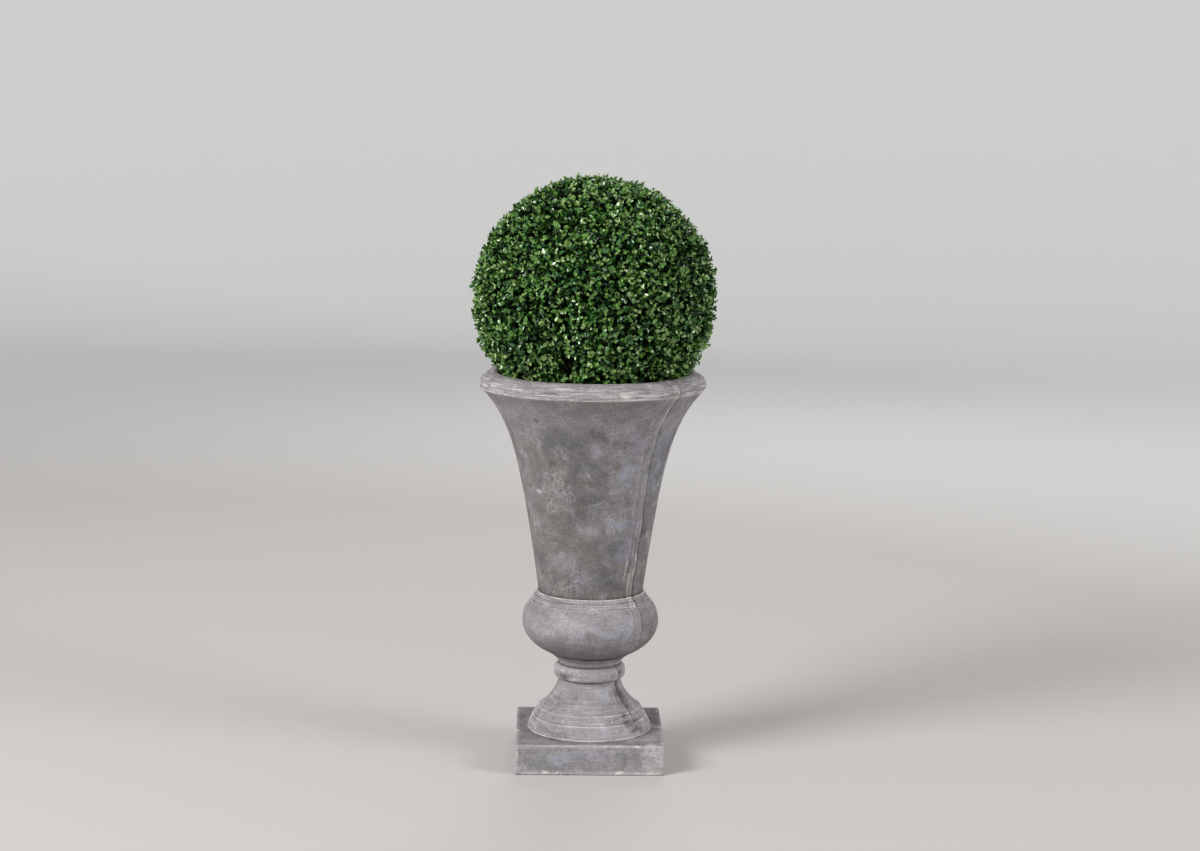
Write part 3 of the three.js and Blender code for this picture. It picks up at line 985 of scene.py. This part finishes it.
def grow_shoots(ball, random, ends, end_directions):
    """Leafy shoots from the ends of the branchlets out to near the clipped surface."""
    directions = sphere_directions(SHOOTS, random, 0.22)
    reach = ball.reach(directions)
    surface = ball.centre + directions * reach[:, None]
    kept = surface[:, 2] > SHOOTS_ABOVE
    directions, reach, surface = directions[kept], reach[kept], surface[kept]
    thin = smooth_step(rough_noise(surface, 0.05, 200), 0.15, 0.75)
    depth = TIP_DEPTH + TIP_SPREAD * random.random(len(reach)) ** 2
    depth += THIN_DEPTH * thin * random.random(len(reach))
    depth -= STRAY_LENGTH * (random.random(len(reach)) < STRAY_SHARE)
    tips = surface - directions * depth[:, None]
    start = ends[nearest(directions, end_directions)]
    lean = unit(directions + random.normal(0, 0.34, directions.shape) + np.array([0, 0, 0.12]))
    return curve_points(start, tips - lean * lengths(tips - start) * 0.5, tips, 12)


def stem_tube():
    """Rings of the stem, flared at its foot and leaning more the higher it gets."""
    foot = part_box("stem")[0][2]
    rise = STEM_TIP[2] - foot
    climb = np.linspace(0, 1, 46)[None, :, None] ** 1.3
    lean = np.array([STEM_TIP[0], STEM_TIP[1], 0])
    path = np.array([0, 0, foot]) + UP * rise * climb + lean * climb ** 2
    up = climb[0, :, 0]
    radii = STEM_RADII[0] + (STEM_RADII[1] - STEM_RADII[0]) * up
    radii += STEM_FLARE[0] * np.exp(-up * rise / STEM_FLARE[1])
    return tubes(path, radii[None], 24)


def bough_tubes(boughs):
    """Rings of the boughs, some thicker than others."""
    random = np.random.default_rng(SEED + 1)
    start, halfway, end = boughs[:, 0], boughs[:, 4], boughs[:, -1]
    paths = curve_points(start, 2 * halfway - (start + end) / 2, end, 34)
    radii = np.linspace(*BOUGH_RADII, 34)[None] * (0.85 + 0.3 * random.random((len(paths), 1)))
    return tubes(paths, radii, 16)


def with_bark(rings):
    """The rings with ridges that run along the limb."""
    flat = rings.reshape(-1, 3)
    out = unit(rings - rings.mean(2, keepdims=True)).reshape(-1, 3)
    ridges = rough_noise(flat, BARK_CELL, 300)
    return (flat + out * (BARK_RIDGE * ridges)[:, None]).reshape(rings.shape)


def add_bark(boughs):
    """The stem and the boughs as one mesh."""
    stem, stem_faces = tube_mesh(with_bark(stem_tube()))
    limbs, limb_faces = tube_mesh(with_bark(bough_tubes(boughs)))
    faces = [np.concatenate([low, high + len(stem)]) for low, high in zip(stem_faces, limb_faces)]
    piece = add_mesh("stem_and_boughs", np.concatenate([stem, limbs]), faces, box_bark())
    stand_in(piece, "stem")


def add_limbs(name, paths, ends, sides, material):
    """Joined limbs that taper along their paths; ends are the thick and the thin radius."""
    radii = np.broadcast_to(np.linspace(*ends, paths.shape[1]), paths.shape[:2])
    points, faces = tube_mesh(tubes(paths, radii, sides))
    stand_in(add_mesh(name, points, faces, material), "leaf_ball")


def add_twigs(orders, shoots):
    """Branches and branchlets in brown, and the leafy shoots in green."""
    brown = plain("twig_brown", TWIG_COLOUR, 0.8, 0.2)
    green = plain("shoot_green", SHOOT_COLOUR, 0.7, 0.15)
    add_limbs("branches", orders[1], BRANCH_RADII, 7, brown)
    add_limbs("branchlets", orders[2], BRANCHLET_RADII, 6, brown)
    add_limbs("shoots", shoots[:, [0, 5, 11]], SHOOT_RADII, 3, green)


# ---- The foliage ----


def leaf_shape(stations):
    """The points, quads and triangles of a leaf with a midrib and an edge on each side."""
    points = [(0, 0, 0)]
    for along, out, lift in stations:
        points += [(along, 0, 0), (along, out, lift), (along, -out, lift)]
    points.append((1, 0, TIP_LIFT))
    quads = []
    for first in range(1, 3 * len(stations) - 2, 3):
        quads.append((first, first + 1, first + 4, first + 3))
        quads.append((first + 2, first, first + 3, first + 5))
    tip, last = len(points) - 1, 3 * len(stations) - 2
    triangles = [(0, 2, 1), (0, 1, 3), (last, last + 1, tip), (last + 2, last, tip)]
    return np.array(points), np.array(quads), np.array(triangles)


# The leaves further in are simpler: one quad on each side of the midrib.
INNER_POINTS = np.array([
    (0.0, 0.0, 0.0), (0.45, 0.95, 1.0), (0.85, 0.75, 0.8),
    (1.0, 0.0, 0.0), (0.85, -0.75, 0.8), (0.45, -0.95, 1.0),
])
INNER_QUADS = np.array([(0, 1, 2, 3), (0, 3, 4, 5)])


def leaves_on(shoots, random, plan):
    """Each leaf's base, heading, face, scale, shoot and pair; each pair crosses the one before."""
    count = len(shoots)
    row = np.arange(count)
    backwards = shoots[:, ::-1]
    steps = np.linalg.norm(np.diff(shoots, axis=1), axis=-1)[:, ::-1]
    from_tip = np.concatenate([np.zeros((count, 1)), np.cumsum(steps, axis=1)], 1)
    turn = random.random(count) * 2 * math.pi
    parts = []
    for number, (distance, degrees, size) in enumerate(plan):
        where = distance * random.uniform(0.8, 1.2, count)
        index = np.clip((from_tip < where[:, None]).sum(1), 1, shoots.shape[1] - 1)
        near, far = backwards[row, index - 1], backwards[row, index]
        part = clamp((where - from_tip[row, index - 1]) / steps[row, index - 1])[:, None]
        point = near + (far - near) * part
        along = unit(near - far)
        side, other = side_vectors(along, along)
        for half in (0, 1):
            angle = turn + number * math.pi / 2 + half * math.pi + random.normal(0, TURN_SPREAD, count)
            out = side * np.cos(angle)[:, None] + other * np.sin(angle)[:, None]
            lean = np.radians(degrees + random.normal(0, LEAN_SPREAD, count))[:, None]
            heading = along * np.cos(lean) + out * np.sin(lean)
            face = along * np.sin(lean) - out * np.cos(lean)
            kept = random.random(count) > LEAVES_MISSING
            heading = unit(heading + random.normal(0, HEADING_SPREAD, heading.shape))
            face = face + random.normal(0, FACING_SPREAD, face.shape)
            scale = size * np.clip(random.normal(1, SIZE_SPREAD, count), 0.6, 1.35)
            pair = np.full(count, number)
            parts.append([values[kept] for values in (point, heading, face, scale, row, pair)])
    return [np.concatenate(group) for group in zip(*parts)]


def blade_points(shape, bases, headings, faces, sizes, random):
    """Places a leaf shape at each base, cupped, and bent a little along its length."""
    across = unit(np.cross(faces, headings))
    up = np.cross(headings, across)
    length = (LEAF_LENGTH * sizes)[:, None, None]
    width = LEAF_WIDTH / 2 * sizes * np.clip(random.normal(1, 0.1, len(sizes)), 0.75, 1.25)
    width = width[:, None, None]
    cup = width * random.uniform(0.15, 0.75, len(sizes))[:, None, None]
    bend = length * random.normal(-0.06, 0.12, len(sizes))[:, None, None]
    along, aside, lift = (shape[None, :, i:i + 1] for i in range(3))
    return (bases[:, None] + headings[:, None] * along * length + across[:, None] * aside * width
            + up[:, None] * (lift * cup + bend * along ** 2))


def rim_height(radius):
    """The height of the lip's top over a radius, and 0 where there is no lip."""
    outline = Outline(*LIP_WIDEST)
    add_lip(outline)
    outline.line((MOUTH[0] - 0.022, MOUTH[1] - 0.041))
    points = np.concatenate(outline.points)
    order = np.argsort(points[:, 0])
    return np.interp(radius, points[order, 0], points[order, 1], left=0.0, right=0.0)


def clear_of_lip(points):
    """Lifts what would cut into the stone lip until it rests on it."""
    radius = np.hypot(points[..., 0], points[..., 1])
    points[..., 2] = np.maximum(points[..., 2], rim_height(radius) + LIP_CLEARANCE)
    return points


def inside_ball(ball, points, slack):
    """Draws in what stands out too far beyond the clipped surface."""
    away = points - ball.centre
    return ball.centre + away * np.minimum(1, (ball.radius + slack) / lengths(away))


def add_leaves(name, points, face_shapes, material):
    """Joined leaves, from each leaf's points and the faces of one leaf."""
    faces = repeated(face_shapes, *points.shape[:2])
    stand_in(add_mesh(name, points.reshape(-1, 3), faces, material), "leaf_ball")


def deal_greens(shoots, owners, pairs, random):
    """Each leaf's green: its shoot's, one lighter at the tip, and a deeper one on older leaves, for age
    and for painted shade.
    """
    drift = 0.13 * rough_noise(shoots[:, -1], 0.09, 400, 2)
    draw = clamp(random.random(len(shoots)) + drift, 0, 0.9999)
    green = np.minimum(np.searchsorted(np.cumsum(DEAL), draw, side="right"), len(DEAL) - 1)[owners]
    green = np.where(pairs < YOUNG_PAIRS, green, OLDER_AND_SHADED[green])
    return np.where(pairs == 0, np.maximum(green - 1, 0), green)


def add_outer_leaves(ball, shoots, random):
    """The leaves at the surface, each green joined into a piece of its own."""
    *leaves, owners, pairs = leaves_on(shoots, random, LEAF_PAIRS)
    green = deal_greens(shoots, owners, pairs, random)
    for number, (name, colour) in enumerate(LEAF_COLOURS.items()):
        young = number < min(OLDER_AND_SHADED)
        material = plain(name + "_green", colour, LEAF_ROUGHNESS, YOUNG_SHINE if young else OLDER_SHINE)
        shape, *face_shapes = leaf_shape(YOUNG_STATIONS if young else OLDER_STATIONS)
        points = blade_points(shape, *(group[green == number] for group in leaves), random)
        points = clear_of_lip(inside_ball(ball, points, LEAF_OVERHANG))
        add_leaves(name, points, face_shapes, material)


def add_inner_leaves(branchlets, shoots, random):
    """Two layers of very dark leaves, painted shade deep in the ball, so that nothing shows through the
    ball.
    """
    material = plain("leaves_inner_painted_shade", INNER_SHADE_COLOUR, 0.6, 0.15)
    layers = (("leaves_inner", shoots, INNER_PAIRS), ("leaves_shaded", branchlets, SHADED_PAIRS))
    for name, limbs, plan in layers:
        *leaves, owners, pairs = leaves_on(limbs, random, plan)
        points = clear_of_lip(blade_points(INNER_POINTS, *leaves, random))
        add_leaves(name, points, [INNER_QUADS], material)


def add_plant():
    random = np.random.default_rng(SEED)
    ball = ClippedBall()
    orders, end_directions = grow_limbs(ball, random)
    boughs, branches, branchlets = orders
    shoots = grow_shoots(ball, random, branchlets[:, -1], end_directions)
    add_bark(boughs)
    add_twigs(orders, shoots)
    random = np.random.default_rng(SEED + 2)
    add_outer_leaves(ball, shoots, random)
    add_inner_leaves(branchlets, shoots, random)


# ---- The room: camera, floor and lights ----


def add_camera():
    data = bpy.data.cameras.new("camera")
    data.lens = CAMERA_LENS
    data.sensor_width = SENSOR_WIDTH
    stance = Matrix.Translation(CAMERA_PLACE)
    for degrees, axis in CAMERA_TURNS:
        stance = stance @ Matrix.Rotation(math.radians(degrees), 4, axis)
    camera = add_object("camera", data)
    camera.matrix_world = stance
    bpy.context.scene.camera = camera


def studio_floor():
    """Painted light: pale, and paler behind and up the wall, which the lights don't reach; painted shade
    in pools under the lights.
    """
    n = Nodes("studio_floor", FLOOR_COLOUR)
    place = n.place()
    away = n.length(place)
    aside, behind, above = (n.add("SeparateXYZ", {"Vector": place}, axis) for axis in "XYZ")
    distant_light = n.between(n.maths("ADD", away, n.times(aside, 0.4)), 2.7, 7.6)
    distant_light = n.times(distant_light, n.between(behind, -1.0, 1.0))
    distant_light = n.maths("MAXIMUM", distant_light, n.between(above, 0.02, 0.9))
    n.lay(distant_light, DISTANT_LIGHT_COLOUR)
    # Painted shade in pools under the key and the fill light.
    for shade_pool in FLOOR_SHADE_POOLS:
        off = n.length(n.vector("SUBTRACT", place, shade_pool))
        n.lay(n.between(off, 3.7, 1.2), FLOOR_SHADE_COLOUR)
    n.paint(0.9, 0.1)
    return n.material


def add_floor():
    """A floor that curves up far behind the object all round."""
    flat = np.linspace(0.5, FLOOR_RADIUS, 14)
    rise = np.linspace(0, math.pi / 2, 25)[1:]
    radius = np.concatenate([flat, FLOOR_RADIUS + WALL_CURVE * np.sin(rise)])
    height = np.concatenate([np.zeros(len(flat)), WALL_CURVE - WALL_CURVE * np.cos(rise)])
    rings = turned(radius, height, FLOOR_COLUMNS)
    quads, fans = ring_faces(len(rings), FLOOR_COLUMNS)
    faces = [quads, fans[:FLOOR_COLUMNS]]
    add_mesh("studio_floor", with_middles(rings), faces, studio_floor())


def add_light(name, place, width, power):
    data = bpy.data.lights.new(name, "AREA")
    data.shape = "DISK"
    data.size = width
    data.energy = power
    light = add_object(name, data)
    light.location = place
    light.rotation_euler = (LIGHT_AIM - Vector(place)).to_track_quat("-Z", "Y").to_euler()
    light.visible_camera = False


def add_light_and_air():
    """White light from all round, and the soft lights."""
    world = bpy.data.worlds.new("studio")
    world.use_nodes = True
    background = world.node_tree.nodes["Background"]
    background.inputs["Color"].default_value = (1, 1, 1, 1)
    background.inputs["Strength"].default_value = AIR_STRENGTH
    bpy.context.scene.world = world
    for light in LIGHTS:
        add_light(*light)
    bpy.context.scene.view_settings.view_transform = "Standard"


add_camera()
add_floor()
add_light_and_air()
add_plinth()
add_pedestal()
add_bulb()
add_bowl()
add_soil()
add_plant()
